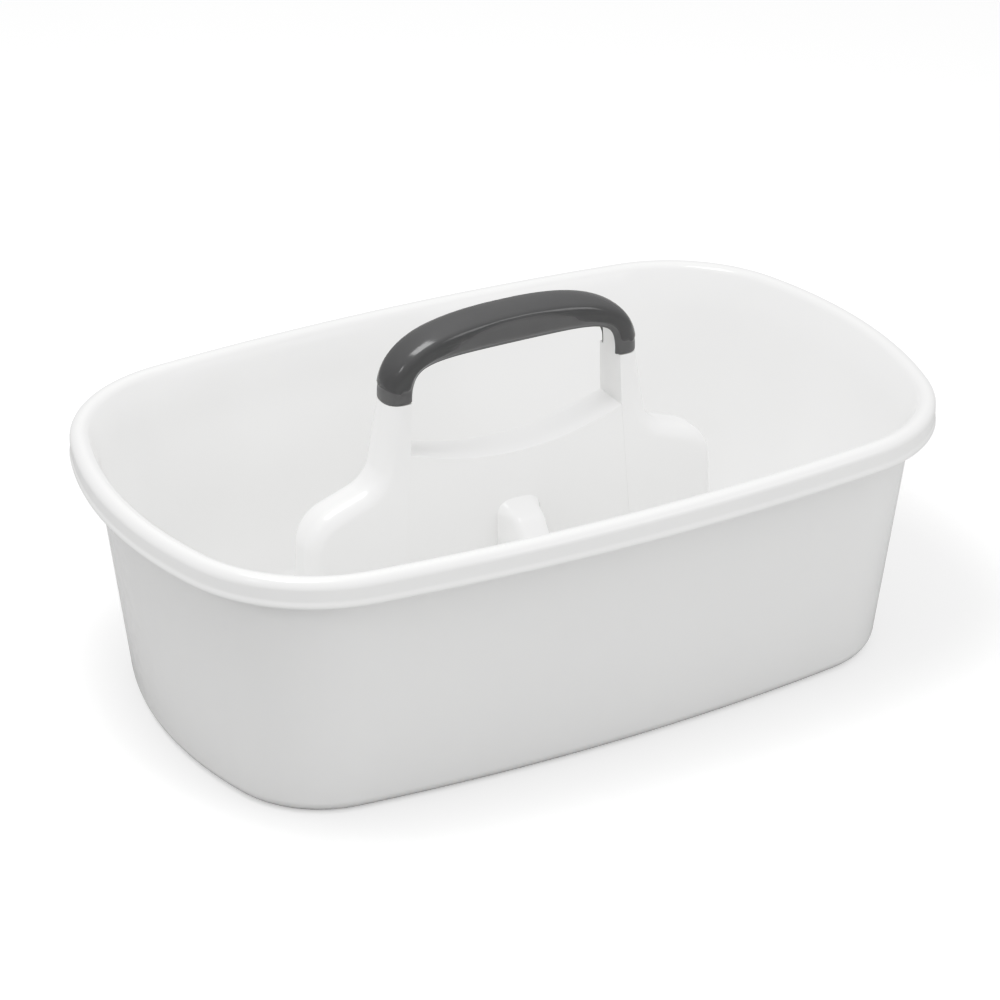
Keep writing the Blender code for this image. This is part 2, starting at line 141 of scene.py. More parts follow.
# grip
GRIP_TOP = box_mm("grip_cover")[1]
GRIP_FOOT_Z = box_mm("grip_cover")[0].z
GRIP_OUTER = (GRIP_TOP.x, GRIP_TOP.z - GRIP_FOOT_Z, 2.46)    # half width, rise, squareness
GRIP_INNER = (51.6, 17.3, 5.0)
GRIP_DEPTH = (19.4, 21.0)        # at the legs and at mid span
GRIP_SHELL = 2.4
GRIP_SIDE = 3.4
GRIP_LIP = 2.7
GRIP_STEPS = (260, 84)           # along the arch and round its section
SECTION_SQUARENESS = 2.2
CHANNEL_RADIUS = 3.9
CHANNEL_STEPS = 6                # round an edge of the channel or of the bar in it
LIP_CUTS = (0.8, 2.3)            # how much shorter the front and the back lip are at the feet
LIP_CUT_RUN = (3.0, 19.0)        # runs from a foot between which that fades out
LIP_REACH = 0.768                # share of the half thickness that a lip reaches below the middle
LIP_SQUARENESS = 4.4
LIP_EDGE = ((0.865, 0.95), (0.9, 0.55), (0.895, 0.15), (0.855, 0.0))    # (share of half thickness, out)
FOOT_ROUNDING = (0.4, 0.5)       # depth and height of the rounding at the feet
FOOT_ROWS = (0.12, 0.3, 0.55)
FOOT_CLEAR = 1.0                 # run from a foot at which the even rows start
PAD_RISE = 0.5                   # moulded pad above the margin round it
PAD_LEVEL = 0.6                  # share of that rise at which the CAD's surface lies
PAD_FOOT = 4.6                   # margin between the pad and the foot of the grip
PAD_STEP = 1.3
PAD_EDGE = (101.0, 66.0)         # degrees from the top of the section, at the legs and at mid span
PAD_SLOPE = (11.0, 20.0)         # degrees over which the edge rises, at the legs and at mid span
PAD_TRAVEL = (0.35, 0.95)        # shares of the way to mid span between which the edge climbs
PAD_TONGUE = (0.3, 6.0)          # how much narrower the pad's end is, and over what length
RIDGE_RISE = 0.5                 # crest line along each side of the grip's top
RIDGE_ANGLE = 57.0
RIDGE_WIDTH = 15.0
RIDGE_TRAVEL = (0.22, 0.5)       # shares of the way to mid span over which it rises

# screws
HEAD_RADIUS = 3.7
HEAD_HEIGHT = 1.5
HEAD_FLAT = (0.25, 0.45)         # shares of its radius: flat end, and where the rounding starts
HEAD_RIM = 0.3
HEAD_CHAMFER = 0.08
HEAD_STEPS = 8
SHANK_RADIUS = 1.6
THREAD_PITCH = 0.7
THREAD_DEPTH = 0.3
POINT_LENGTH = 0.6
POINT_RADIUS = 0.3
RECESS_ARM = (1.9, 0.42)         # half length and half width
RECESS_DEPTH = 1.3
RECESS_TAPER = 0.62
RECESS_MARGIN = 0.2              # the recess's cutter starts this far outside the head

# camera: place in millimetres, angles in degrees
CAMERA_TARGET = Vector((-3.76, 0.0, 80.62))
CAMERA_AZIMUTH = -28.964
CAMERA_ELEVATION = 27.641
CAMERA_ROLL = 0.277
CAMERA_DISTANCE = 1529.9
CAMERA_LENS = 117.655            # on a sensor of SENSOR_WIDTH
SENSOR_WIDTH = 36.0

# studio, in metres and watts: name, place, target, size and power of each area light
LIGHTS = (
    ("overhead", (-0.4, -0.05, 1.3), (0.0, 0.0, 0.1), (0.6, 0.5), 5.0),
    ("side strip", (-1.35, -0.45, 1.0), (0.0, 0.0, 0.1), (0.2, 0.3), 1.0),
    ("front fill", (0.9, -1.5, 0.7), (0.0, 0.0, 0.08), (1.0, 0.6), 4.4),
)
STUDIO_RADIUS = 30.0
SURROUND = (0.36, 1.08)          # strength at the horizon and overhead
BACKDROP = 1.1
TONE_POINTS = ((0.15, 0.155), (0.49, 0.62), (0.67, 0.80), (0.93, 0.935))    # (plain, lifted)


# ---- mesh helpers -------------------------------------------------------------------------
def object_from(name, bm):
    """Turn a bmesh into a linked object with its faces pointing out."""
    bmesh.ops.recalc_face_normals(bm, faces=bm.faces)
    mesh = bpy.data.meshes.new(name)
    bm.to_mesh(mesh)
    bm.free()
    item = bpy.data.objects.new(name, mesh)
    bpy.context.collection.objects.link(item)
    return item


def boolean(target, bm, operation):
    """Apply an exact Boolean with the mesh `bm` to `target`."""
    tool = object_from("tool", bm)
    step = target.modifiers.new("boolean", "BOOLEAN")
    step.object = tool
    step.operation = operation
    step.solver = "EXACT"
    graph = bpy.context.evaluated_depsgraph_get()
    mesh = bpy.data.meshes.new_from_object(target.evaluated_get(graph))
    target.modifiers.clear()
    target.data = mesh
    bpy.data.objects.remove(tool, do_unlink=True)


def loft(loops, capped=True):
    """Skin a list of equally long closed loops of points (millimetres)."""
    bm = bmesh.new()
    rings = [[bm.verts.new(Vector(point) * MM) for point in loop] for loop in loops]
    count = len(rings[0])
    for low, high in zip(rings, rings[1:]):
        for i in range(count):
            j = (i + 1) % count
            bm.faces.new((low[i], low[j], high[j], high[i]))
    if capped:
        bm.faces.new(list(reversed(rings[0])))
        bm.faces.new(rings[-1])
    return bm


def fillet(points, radii, steps=12):
    """Round the corners of a closed polygon of 2-D points; a radius of 0 leaves a corner."""
    out = []
    count = len(points)
    for i, radius in enumerate(radii):
        corner = Vector(points[i])
        if radius <= 0.0:
            out.append(corner)
            continue
        before = (Vector(points[i - 1]) - corner).normalized()
        after = (Vector(points[(i + 1) % count]) - corner).normalized()
        half = before.angle(after) / 2.0
        centre = corner + (before + after).normalized() * (radius / sin(half))
        start = corner + before * (radius / tan(half)) - centre
        end = corner + after * (radius / tan(half)) - centre
        turn = start.angle_signed(end)
        for k in range(steps + 1):
            angle = -turn * k / steps
            spun = Vector((start.x * cos(angle) - start.y * sin(angle),
                           start.x * sin(angle) + start.y * cos(angle)))
            out.append(centre + spun)
    return out


def inset(points, distances):
    """Move each edge i -> i + 1 of a counterclockwise polygon inwards by its own distance."""
    count = len(points)
    lines = []
    for i in range(count):
        start = Vector(points[i])
        along = (Vector(points[(i + 1) % count]) - start).normalized()
        lines.append((start + Vector((-along.y, along.x)) * distances[i], along))
    moved = []
    for i in range(count):
        (p, d), (q, e) = lines[i - 1], lines[i]
        t = ((q.x - p.x) * e.y - (q.y - p.y) * e.x) / (d.x * e.y - d.y * e.x)
        moved.append(p + d * t)
    return moved


def half_depth(z):
    """Half thickness of the divider at height z."""
    return HALF_DEPTH_FOOT - DEPTH_DRAFT * (z - FRAME_FOOT)


def slab(outline_at, radius, steps, shrink=0.0):
    """Drafted slab between the divider's front and back planes, with rounded edges."""
    layers = []
    for k in range(steps + 1):
        angle = pi / 2.0 * k / steps
        layers.append((radius * (1.0 - sin(angle)), radius * (1.0 - cos(angle))))
    loops = []
    for side, order in ((-1.0, layers), (1.0, reversed(layers))):
        for moved_in, below_face in order:
            loops.append([(x, side * (half_depth(z) - shrink - below_face), z)
                          for x, z in outline_at(moved_in)])
    return loft(loops)


def box(low, high):
    """Block between two corners."""
    (x0, y0, z0), (x1, y1, z1) = low, high
    return loft([[(x0, y0, z), (x1, y0, z), (x1, y1, z), (x0, y1, z)] for z in (z0, z1)])


def turned(profile, x, sides=40):
    """Closed body of revolution round the vertical line through (x, 0)."""
    loops = []
    for radius, z in profile:
        loops.append([(x + radius * cos(2 * pi * k / sides), radius * sin(2 * pi * k / sides), z)
                      for k in range(sides)])
    return loft(loops)


def smooth(item, angle=32.0):
    """Smooth shading that keeps flat faces flat and creases sharp."""
    item.data.shade_smooth()
    item.data.set_sharp_from_angle(angle=radians(angle))
    weighted = item.modifiers.new("flat faces", "WEIGHTED_NORMAL")
    weighted.keep_sharp = True


def finish_piece(item, material, node):
    """Give a finished piece its material and its place in the frame."""
    item.data.materials.clear()
    item.data.materials.append(material)
    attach(item, "root")
    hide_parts(node)


# ---- tub ----------------------------------------------------------------------------------
def arc(centre, radius, start, end, steps):
    """Points along an arc from one angle to another."""
    return [Vector((centre.x + radius * cos(start + (end - start) * k / steps),
                    centre.y + radius * sin(start + (end - start) * k / steps)))
            for k in range(steps + 1)]


def plan(sizes, offset=0.0):
    """Closed plan outline: end, corner and side arcs that meet tangentially, four times."""
    half_length, half_width, side_radius, end_radius, corner_radius = (v + offset for v in sizes)
    side_centre = Vector((0.0, half_width - side_radius))
    end_centre = Vector((half_length - end_radius, 0.0))
    axis = end_centre - side_centre
    reach = axis.length
    to_side = side_radius - corner_radius
    to_end = end_radius - corner_radius
    along = (reach ** 2 + to_side ** 2 - to_end ** 2) / (2.0 * reach)
    across = sqrt(to_side ** 2 - along ** 2)
    axis.normalize()
    corner = side_centre + axis * along + Vector((axis.y, -axis.x)) * across
    low = atan2(corner.y - end_centre.y, corner.x - end_centre.x)
    high = atan2(corner.y - side_centre.y, corner.x - side_centre.x)
    quarter = arc(end_centre, end_radius, 0.0, low, PLAN_STEPS[0])
    quarter += arc(corner, corner_radius, low, high, PLAN_STEPS[1])[1:]
    quarter += arc(side_centre, side_radius, high, pi / 2.0, PLAN_STEPS[2])[1:]
    loop = [(p.x, p.y) for p in quarter]
    loop += [(-p.x, p.y) for p in reversed(quarter[:-1])]
    loop += [(-p.x, -p.y) for p in quarter[1:]]
    loop += [(p.x, -p.y) for p in reversed(quarter[1:-1])]
    return loop


def wall_loop(z, offset=0.0, height=None):
    """Outline of the drafted wall at height z, drawn at `height` if that differs."""
    share = z / (RIM_HEIGHT - SKIRT_HEIGHT)
    top = [size - OVERHANG for size in RIM_PLAN]
    sizes = [low + (high - low) * share for low, high in zip(BASE_PLAN, top)]
    return [(x, y, z if height is None else height) for x, y in plan(sizes, offset)]


def rim_loop(z, offset):
    """Outline of the rim at height z, moved out by `offset`."""
    return [(x, y, z) for x, y in plan(RIM_PLAN, offset)]


def tub_base():
    """From the recess under the floor over the rounded foot ring and up to the wall."""
    inner = -(FOOT_INSET + FOOT_WIDTH)
    loops = [wall_loop(0.0, inner + out, height) for out, height in FOOT_EDGE]
    for k in range(ROUNDING_STEPS + 1):
        angle = pi / 2.0 * k / ROUNDING_STEPS
        z = BOTTOM_RADIUS * (1.0 - cos(angle))
        loops.append(wall_loop(z, -BOTTOM_RADIUS * (1.0 - sin(angle))))
    loops += [wall_loop(z) for z in (*WALL_LEVELS, RIM_HEIGHT - SKIRT_HEIGHT - UNDER_SKIRT)]
    return loops


def crest_profile(inwards=0.0):
    """(offset, height) points over the rim, from its outer face to the inner wall, or below those."""
    points = []
    second = RIM_RADIUS + CREST_RUNOUT
    turn, end = radians(CREST_TURN), radians(90.0 - WALL_DRAFT)
    first_centre = (-RIM_RADIUS, -RIM_RADIUS)
    second_centre = (first_centre[0] + CREST_RUNOUT * sin(turn), first_centre[1] - CREST_RUNOUT * cos(turn))
    tight_steps, wide_steps = CREST_STEPS
    for k in range(tight_steps + 1):
        slope = -pi / 2.0 + (turn + pi / 2.0) * k / tight_steps
        points.append((first_centre, RIM_RADIUS, slope))
    for k in range(1, wide_steps + 1):
        points.append((second_centre, second, turn + (end - turn) * k / wide_steps))
    return [(centre[0] - (radius - inwards) * sin(slope), centre[1] + (radius - inwards) * cos(slope))
            for centre, radius, slope in points]


def tub_rim():
    """From the wall out under the rim, round the skirt and back over the crest."""
    edge = SKIRT_LIFT - SKIRT_HEIGHT
    lower_edge = [(out - WALL, edge + up) for out, up in SKIRT_INNER_EDGE]
    lower_edge += [(BEAD_FACE + out, edge + up) for out, up in SKIRT_OUTER_EDGE]
    lower_edge += [(BEAD_FACE * share, edge + up) for share, up in BEAD_FADE]
    under = [point for point in reversed(crest_profile(WALL)) if point[1] > -UNDER_RIM]
    profile = under + lower_edge + crest_profile()
    return [rim_loop(RIM_HEIGHT + height, offset) for offset, height in profile]


def tub_inside():
    """Down the inner wall and round into the floor."""
    loops = [wall_loop(z, -WALL) for z in reversed(WALL_LEVELS)]
    for k in range(ROUNDING_STEPS + 1):
        angle = pi / 2.0 * k / ROUNDING_STEPS
        z = FLOOR_TOP + FLOOR_RADIUS * (1.0 - sin(angle))
        loops.append(wall_loop(z, -WALL - FLOOR_RADIUS * (1.0 - cos(angle))))
    return loops


def make_tub(screw_places):
    """Tub shell, with a ring round each screw and the gate mark of the mould on its underside."""
    tub = object_from("tub_shell", loft(tub_base() + tub_rim() + tub_inside()))
    inner, outer, height = SCREW_PAD
    for x in screw_places:
        ring = [(outer, FOOT_HEIGHT + BOSS_ROOT), (outer, FOOT_HEIGHT - height + SCREW_PAD_EDGE),
                (outer - SCREW_PAD_EDGE, FOOT_HEIGHT - height)]
        boolean(tub, turned(ring, x), "UNION")
        boolean(tub, turned([(inner, FOOT_HEIGHT), (inner, 0.0)], x), "DIFFERENCE")
    gate = [(radius, FOOT_HEIGHT + up) for radius, up in GATE_MARK]
    boolean(tub, turned(gate, 0.0), "UNION")
    smooth(tub)
    return tub


# ---- handle frame -------------------------------------------------------------------------
def tower_outline(side, moved_in):
    """Outline of a tower with its three outer sides moved in."""
    corners = [(TOWER_FOOT_X, FRAME_FOOT), (TOWER_END_X, SHOULDER_Z), POST_ROOT, POST_TOP,
               (HAND_TOP_HALF_WIDTH, POST_TOP[1]), (HAND_HALF_WIDTH, SEAM_TOP_Z), (SEAM_FOOT_X, FRAME_FOOT)]
    distances = [moved_in, moved_in, moved_in, 0.0, 0.0, 0.0, 0.0]
    radii = (0.0, SHOULDER_RADIUS - moved_in, POST_ROOT_RADIUS + moved_in, 0.0, 0.0, 0.0, 0.0)
    outline = fillet(inset(corners, distances), radii, TOWER_CORNER_STEPS)
    if side > 0:
        return [(p.x, p.y) for p in outline]
    return [(-p.x, p.y) for p in reversed(outline)]


def signed_power(value, exponent):
    """Power of the size of `value`, with its sign."""
    return abs(value) ** exponent * (1.0 if value > 0.0 else -1.0)


def arch_point(share, half_width, rise, power):
    """Point of a superelliptic arch, from its left foot at share 0 to its right foot at 1."""
    across, up = -cos(pi * share), sin(pi * share)
    size = (abs(across) ** power + abs(up) ** power) ** (-1.0 / power)
    return Vector((half_width * across * size, GRIP_FOOT_Z + rise * abs(up) * size))


def arch_stations(steps):
    """(inner point, outer point, run from the nearer foot), evenly spread along the arch."""
    fine = 4000
    middles = [(arch_point(k / fine, *GRIP_OUTER) + arch_point(k / fine, *GRIP_INNER)) / 2.0
               for k in range(fine + 1)]
    run = [0.0]
    for a, b in zip(middles, middles[1:]):
        run.append(run[-1] + (b - a).length)
    stations = []
    index = 0
    for k in range(steps + 1):
        wanted = run[-1] * k / steps
        while index < fine - 1 and run[index + 1] < wanted:
            index += 1
        share = (index + (wanted - run[index]) / (run[index + 1] - run[index])) / fine
        foot_run = min(wanted, run[-1] - wanted)
        stations.append((arch_point(share, *GRIP_INNER), arch_point(share, *GRIP_OUTER), foot_run))
    return stations


def depth_at(outer):
    """Depth of the grip where its outer edge is at `outer`."""
    rise = (outer.y - GRIP_FOOT_Z) / GRIP_OUTER[1]
    return GRIP_DEPTH[0] + (GRIP_DEPTH[1] - GRIP_DEPTH[0]) * rise * rise * (3.0 - 2.0 * rise)


def bar_corners(thickness, depth, clearance=0.0, reach=0.0):
    """Inner edge, outer edge and half width of the bar inside the grip, or of its channel."""
    inner = -thickness / 2.0 + GRIP_LIP - reach
    outer = thickness / 2.0 - GRIP_SHELL + clearance
    return inner, outer, depth / 2.0 - GRIP_SIDE + clearance


def placed(section, inner, outer):
    """Put (outward, y) points of a section on its station of the arch."""
    centre, normal = (inner + outer) / 2.0, (outer - inner).normalized()
    spots = [(centre + normal * out, across) for out, across in section]
    return [(spot.x, across, spot.y) for spot, across in spots]


def make_bar():
    """Bar inside the grip, from one post over the arch to the other."""
    loops = []
    stations = [(inner, outer) for inner, outer, _ in arch_stations(BAR_STEPS)]
    drop = Vector((0.0, GAP + BAR_ROOT))
    ends = [(stations[k][0] - drop, stations[k][1] - drop) for k in (0, -1)]
    for inner, outer in [ends[0], *stations, ends[1]]:
        low, high, side = bar_corners((outer - inner).length, depth_at(outer))
        corners = [(low, -side), (high, -side), (high, side), (low, side)]
        loops.append(placed(fillet(corners, BAR_RADII, CHANNEL_STEPS), inner, outer))
    return loft(loops)


def make_handle_frame():
    """Two towers joined by the bar, with pockets that core the bar out from below."""
    frame_shell = object_from("handle_frame_shell", make_bar())
    half = (POCKET_PITCH - POCKET_WEB) / 2.0
    for k in range(POCKET_COUNT):
        x = POCKET_PITCH * (k - (POCKET_COUNT - 1) / 2.0)
        low, high = (x - half, -POCKET_HALF_DEPTH, GRIP_FOOT_Z), (x + half, POCKET_HALF_DEPTH, POCKET_TOP_Z)
        boolean(frame_shell, box(low, high), "DIFFERENCE")
    for side in (-1, 1):
        tower = slab(lambda moved_in, s=side: tower_outline(s, moved_in), EDGE_RADIUS, EDGE_STEPS)
        boolean(frame_shell, tower, "UNION")
    smooth(frame_shell)
    return frame_shell


# ---- centre panel -------------------------------------------------------------------------
def panel_outline(moved_in):
    """The panel between the towers: drafted sides and a top that dips in the middle."""
    back = SEAM * sqrt(1.0 + SEAM_LEAN ** 2)
    top_x = HAND_HALF_WIDTH - SEAM
    sag = SEAM_TOP_Z - SMILE_Z
    radius = (HAND_HALF_WIDTH ** 2 + sag ** 2) / (2.0 * sag)
    outline = [(back - SEAM_FOOT_X + moved_in, FRAME_FOOT), (SEAM_FOOT_X - back - moved_in, FRAME_FOOT)]
    for k in range(PANEL_TOP_STEPS + 1):
        x = (top_x - moved_in) * (1.0 - 2.0 * k / PANEL_TOP_STEPS)
        outline.append((x, SMILE_Z + radius - sqrt(radius ** 2 - x ** 2) - moved_in))
    return outline


def rib_reach(z):
    """How far the middle of the rib stands out at height z: hollow above its knee, easing below."""
    down = RIB_START_Z - z
    knee = RIB_START_Z - RIB_KNEE_Z
    slope = (RIB_REACH[1] - RIB_REACH[0]) / knee - RIB_BEND * knee
    if down < knee:
        return RIB_REACH[0] + slope * down + RIB_BEND * down * down
    left = RIB_REACH[2] - RIB_REACH[1]
    return RIB_REACH[2] - left * exp(-(down - knee) * (slope + 2.0 * RIB_BEND * knee) / left)


def make_rib(side):
    """Stub rib with a domed top, its cross-sections stacked up and flared into the panel's face."""
    nose_steps, crown_steps, half_steps = RIB_STEPS
    crown_turn, side_turn = radians(89.8), radians(89.9)    # just short of upright: no two points meet
    rows = [(FRAME_FOOT + (RIB_CROWN_Z - FRAME_FOOT) * k / nose_steps, 0.0) for k in range(nose_steps)]
    for k in range(crown_steps + 1):
        rounded = sin(crown_turn * k / crown_steps) ** (2.0 / RIB_SQUARENESS)
        rows.append((RIB_CROWN_Z + RIB_CROWN * rounded, rounded))
    loops = []
    for z, rounded in rows:
        half = RIB_HALF_WIDTH * (1.0 - rounded ** RIB_SQUARENESS) ** (1.0 / RIB_SQUARENESS)
        loop = []
        for k in range(-half_steps, half_steps + 1):
            across = half * signed_power(sin(side_turn * k / half_steps), 2.0 / RIB_SQUARENESS)
            share = abs(across / RIB_HALF_WIDTH) ** RIB_SQUARENESS + rounded ** RIB_SQUARENESS
            height = max(0.0, 1.0 - share) ** (1.0 / RIB_SQUARENESS)
            flare = RIB_FLARE * (1.0 - height) ** 3
            x = across * (1.0 + flare / RIB_HALF_WIDTH)
            raised = z + flare * rounded ** 3
            out = half_depth(raised) - PANEL_RECESS + rib_reach(z) * height - RIB_SINK
            loop.append((x, side * out, raised))
        inside = side * (half_depth(z) - RIB_ROOT)
        loop += [(loop[-1][0], inside, loop[-1][2]), (loop[0][0], inside, loop[0][2])]
        loops.append(loop)
    return loft(loops)


def make_centre_panel():
    """Panel between the towers, with a stub rib on each face."""
    face = slab(panel_outline, PANEL_EDGE, PANEL_EDGE_STEPS, PANEL_RECESS)
    panel = object_from("centre_panel_shell", face)
    for side in (-1.0, 1.0):
        boolean(panel, make_rib(side), "UNION")
    smooth(panel)
    return panel


# ---- grip ---------------------------------------------------------------------------------
def step_up(value, low, high):
    """Smooth step from 0 at `low` to 1 at `high`."""
    share = min(1.0, max(0.0, (value - low) / (high - low)))
    return share * share * (3.0 - 2.0 * share)


def between(pair, share):
    """Value at `share` of the way from the first of a pair to the second."""
    return pair[0] + (pair[1] - pair[0]) * share


def pad_share(angle, run, middle):
    """How far a point of the grip lies on the raised pad, from 0 on the margin to 1."""
    travel = step_up(run, middle * PAD_TRAVEL[0], middle * PAD_TRAVEL[1])
    edge = radians(between(PAD_EDGE, travel))
    slope = radians(between(PAD_SLOPE, travel))
    narrowing, length = PAD_TONGUE
    tongue = 1.0 - narrowing * max(0.0, 1.0 - (run - PAD_FOOT) / length) ** 2
    across = step_up(edge * tongue - abs(angle), -slope / 2.0, slope / 2.0)
    return across * step_up(run, PAD_FOOT, PAD_FOOT + PAD_STEP)


def ridge(angle, run, middle):
    """Crest line between the top and each side of the grip, fading out on the legs."""
    away = (abs(angle) - radians(RIDGE_ANGLE)) / radians(RIDGE_WIDTH)
    return RIDGE_RISE * exp(-away * away) * step_up(run, middle * RIDGE_TRAVEL[0], middle * RIDGE_TRAVEL[1])


def lip_angle(thickness, cut):
    """Angle from the top of the section at which a lip shortened by `cut` ends."""
    return pi / 2.0 + asin((LIP_REACH - 2.0 * cut / thickness) ** (LIP_SQUARENESS / 2.0))


def lip_points(thickness, side, cut):
    """Rounded edge of a lip, from its outer side to the channel."""
    return [(cut - thickness / 2.0 * share, side + out) for share, out in LIP_EDGE]


def channel_top(high, side):
    """Rounded top of the channel, from its back wall over to its front wall."""
    turns = [pi / 2.0 * k / CHANNEL_STEPS for k in range(CHANNEL_STEPS + 1)]
    back = [(high - CHANNEL_RADIUS * (1.0 - sin(turn)), side - CHANNEL_RADIUS * (1.0 - cos(turn)))
            for turn in turns]
    return back + [(out, -across) for out, across in reversed(back)]


def grip_section(inner, outer, run, middle):
    """(outward, y, pad) points of the open shell, from its front lip over the top to the back."""
    thickness, depth = (outer - inner).length, depth_at(outer)
    rounding, rounding_height = FOOT_ROUNDING
    round_off = rounding * max(0.0, 1.0 - run / rounding_height) ** 2
    _, high, side = bar_corners(thickness, depth, GAP)
    fade = step_up(LIP_CUT_RUN[1] - run, 0.0, LIP_CUT_RUN[1] - LIP_CUT_RUN[0])
    front_cut, back_cut = (cut * fade for cut in LIP_CUTS)
    front, back = (lip_angle(thickness, cut) for cut in (front_cut, back_cut))
    points = []
    steps = GRIP_STEPS[1]
    for k in range(steps + 1):
        angle = -front + (front + back) * k / steps
        power = 2.0 / (SECTION_SQUARENESS if abs(angle) < pi / 2.0 else LIP_SQUARENESS)
        out = thickness / 2.0 * signed_power(cos(angle), power)
        across = depth / 2.0 * signed_power(sin(angle), 2.0 / SECTION_SQUARENESS)
        pad = pad_share(angle, run, middle)
        lift = PAD_RISE * (pad - PAD_LEVEL) - round_off + ridge(angle, run, middle)
        away = Vector((cos(angle), sin(angle))) * lift
        points.append((out + away.x, across + away.y, pad))
    inside = lip_points(thickness, side, back_cut) + channel_top(high, side)
    inside += [(out, -across) for out, across in reversed(lip_points(thickness, side, front_cut))]
    return points + [(out, across, 0.0) for out, across in inside]


def make_grip():
    """Moulded grip: a shell open towards the hand, with a raised pad over its top and sides."""
    stations = arch_stations(GRIP_STEPS[0])
    middle = stations[len(stations) // 2][2]
    foot = stations[0]
    low = [(foot[0] + Vector((0.0, z)), foot[1] + Vector((0.0, z)), z) for z in FOOT_ROWS]
    high = [(Vector((-a.x, a.y)), Vector((-b.x, b.y)), z) for a, b, z in reversed(low)]
    even_rows = [station for station in stations if station[2] > FOOT_CLEAR]
    rows = []
    pads = []
    for inner, outer, run in [foot, *low, *even_rows, *high, stations[-1]]:
        section = grip_section(inner, outer, run, middle)
        rows.append(placed([(out, across) for out, across, _ in section], inner, outer))
        pads += [pad for _, _, pad in section]
    grip = object_from("grip_shell", loft(rows))
    relief = grip.data.attributes.new("pad", "FLOAT", "POINT")
    relief.data.foreach_set("value", pads)
    smooth(grip, 40.0)
    return grip


# ---- screws -------------------------------------------------------------------------------
def screw_profile(reach):
    """(radius, height) points of the screw, from the end of its head up to its point."""
    top = FOOT_HEIGHT - GAP
    flat, rounding = HEAD_FLAT
    profile = [(HEAD_RADIUS * flat, top - HEAD_HEIGHT)]
    for k in range(1, HEAD_STEPS + 1):
        angle = pi / 2.0 * k / HEAD_STEPS
        radius = HEAD_RADIUS * (rounding + (1.0 - rounding) * sin(angle))
        profile.append((radius, top - HEAD_RIM - (HEAD_HEIGHT - HEAD_RIM) * cos(angle)))
    profile += [(HEAD_RADIUS, top - HEAD_CHAMFER), (HEAD_RADIUS - HEAD_CHAMFER, top), (SHANK_RADIUS, top)]
    for k in range(int((reach - FLOOR_TOP) / THREAD_PITCH)):
        z = FLOOR_TOP + THREAD_PITCH * k
        profile += [(SHANK_RADIUS - THREAD_DEPTH, z), (SHANK_RADIUS, z + THREAD_PITCH / 2.0)]
    return profile + [(SHANK_RADIUS - THREAD_DEPTH, reach - POINT_LENGTH), (POINT_RADIUS, reach)]


def make_screw(number, x, reach):
    """Pan head thread-forming screw with a cross recess, driven up through the floor."""
    screw = object_from(f"screw_{number}", turned(screw_profile(reach), x, 36))
    recess_foot = FOOT_HEIGHT - GAP - HEAD_HEIGHT - RECESS_MARGIN
    for along, across in (RECESS_ARM, RECESS_ARM[::-1]):
        corners = [(-along, -across), (along, -across), (along, across), (-along, across)]
        loops = []
        for share, z in ((1.0, recess_foot), (RECESS_TAPER, recess_foot + RECESS_DEPTH)):
            loops.append([(x + out * share, y * share, z) for out, y in corners])
        boolean(screw, loft(loops), "DIFFERENCE")
    smooth(screw)
    return screw


# ---- materials ----------------------------------------------------------------------------
def new_material(name):
    """A new material with its nodes and links."""
    material = bpy.data.materials.new(name)
    material.use_nodes = True
    return material, material.node_tree.nodes, material.node_tree.links


def noise(nodes, links, coordinates, scale, detail=3.0, roughness=0.5):
    """Noise over the object, `scale` features to the metre."""
    texture = nodes.new("ShaderNodeTexNoise")
    texture.inputs["Scale"].default_value = scale
    texture.inputs["Detail"].default_value = detail
    texture.inputs["Roughness"].default_value = roughness
    links.new(coordinates, texture.inputs["Vector"])
    return texture.outputs["Fac"]


def remap(nodes, links, value, low, high, source=(0.3, 0.7)):
    """Map the `source` range of a socket to low ... high, clamped."""
    mapping = nodes.new("ShaderNodeMapRange")
    mapping.inputs["From Min"].default_value = source[0]
    mapping.inputs["From Max"].default_value = source[1]
    mapping.inputs["To Min"].default_value = low
    mapping.inputs["To Max"].default_value = high
    links.new(value, mapping.inputs["Value"])
    return mapping.outputs["Result"]


def blend(nodes, links, factor, first, second):
    """Mix two colours (tuples or sockets) by a factor socket."""
    mix = nodes.new("ShaderNodeMix")
    mix.data_type = "RGBA"
    links.new(factor, mix.inputs[0])
    for socket, colour in ((mix.inputs[6], first), (mix.inputs[7], second)):
        if isinstance(colour, tuple):
            socket.default_value = (*colour, 1.0)
        else:
            links.new(colour, socket)
    return mix.outputs[2]


def bump(nodes, links, height, strength, distance, below=None):
    """Normal bumped by a height socket, over the normal `below` if there is one."""
    node = nodes.new("ShaderNodeBump")
    node.inputs["Strength"].default_value = strength
    node.inputs["Distance"].default_value = distance
    links.new(height, node.inputs["Height"])
    if below is not None:
        links.new(below, node.inputs["Normal"])
    return node.outputs["Normal"]


